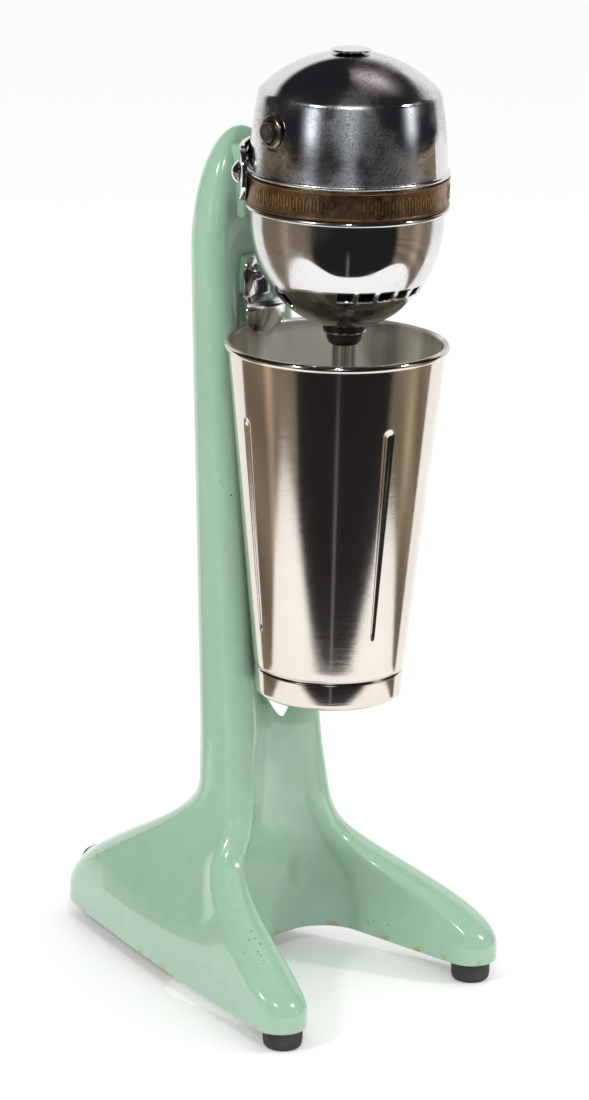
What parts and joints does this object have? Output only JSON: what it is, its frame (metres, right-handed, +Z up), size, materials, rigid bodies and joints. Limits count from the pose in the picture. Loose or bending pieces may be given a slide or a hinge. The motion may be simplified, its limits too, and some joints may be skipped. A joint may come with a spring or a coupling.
{
  "type": "milkshake mixer",
  "caption": "Single-spindle milkshake mixer with a jadeite green enamelled stand, chromed round motor head with a brass band, and a stainless mixing cup on its rest.",
  "frame": {"origin": "on the table, under the middle of the mixer's bounding box", "axes": "+Z up, the cup and motor head at the front towards -Y, the push button on the -X side"},
  "size_m": [0.1638, 0.2272, 0.479],
  "materials": {
    "green_enamel": "glossy jadeite green enamel, a few chips and stains",
    "chrome": "polished, worn and pitted on the upper housing",
    "stainless": "polished outside, brushed inside",
    "aged_brass": "darkened, with thin raised borders",
    "steel": "plain machined steel",
    "lamination": "stacked core plates",
    "copper": "varnished copper wire",
    "black_rubber": "matt black",
    "dark_plastic": "very dark brown moulded plastic",
    "carbon": "pressed carbon"
  },
  "bodies": {
    "stand": {"stand_casting": "green_enamel", "base_cover_plate": "steel", "foot_front_left": "black_rubber", "foot_front_right": "black_rubber", "foot_rear": "black_rubber", "foot_screw_front_left": "steel", "foot_screw_front_right": "steel", "foot_screw_rear": "steel", "cord_bushing": "black_rubber", "cup_rest": "chrome", "cup_rest_screw": "steel", "cup_guide": "chrome", "cup_guide_screw": "chrome", "motor_bracket": "chrome", "bracket_bolt_upper": "steel", "bracket_bolt_lower": "steel", "bracket_screw_left": "chrome", "bracket_screw_right": "chrome", "upper_housing": "chrome", "lower_housing": "chrome", "name_band": "aged_brass", "top_plug": "chrome", "switch_bushing": "steel", "speed_switch": "dark_plastic", "housing_bolt_left": "steel", "housing_bolt_right": "steel", "bearing_bracket": "steel", "upper_bearing": "steel", "lower_bearing": "steel", "field_core": "lamination", "field_coil_left": "copper", "field_coil_right": "copper", "brush_left": "carbon", "brush_right": "carbon", "brush_holder_left": "aged_brass", "brush_holder_right": "aged_brass", "nose_collar": "dark_plastic", "nose_ring": "chrome"},
    "rotor": {"motor_shaft": "steel", "spindle": "chrome", "armature_core": "lamination", "armature_winding_lower": "copper", "armature_winding_upper": "copper", "commutator": "aged_brass", "cooling_fan": "steel", "agitator_lower": "stainless", "agitator_upper": "stainless"},
    "button": {"push_button": "dark_plastic"},
    "cup": {"mixing_cup": "stainless"}
  },
  "joints": [
    {"name": "rotor_spin", "type": "hinge", "parent": "stand", "child": "rotor", "pos_m": [0, -0.0632, 0.3], "axis": [0, 0, 1], "continuous": true},
    {"name": "button_press", "type": "slide", "parent": "stand", "child": "button", "axis": [0.9903, -0.1392, 0], "range_m": [0, 0.003], "stiffness_N_per_m": 800},
    {"name": "cup_lift", "type": "slide", "parent": "stand", "child": "cup", "axis": [0, 0, 1], "range_m": [0, 0.005]}
  ]
}
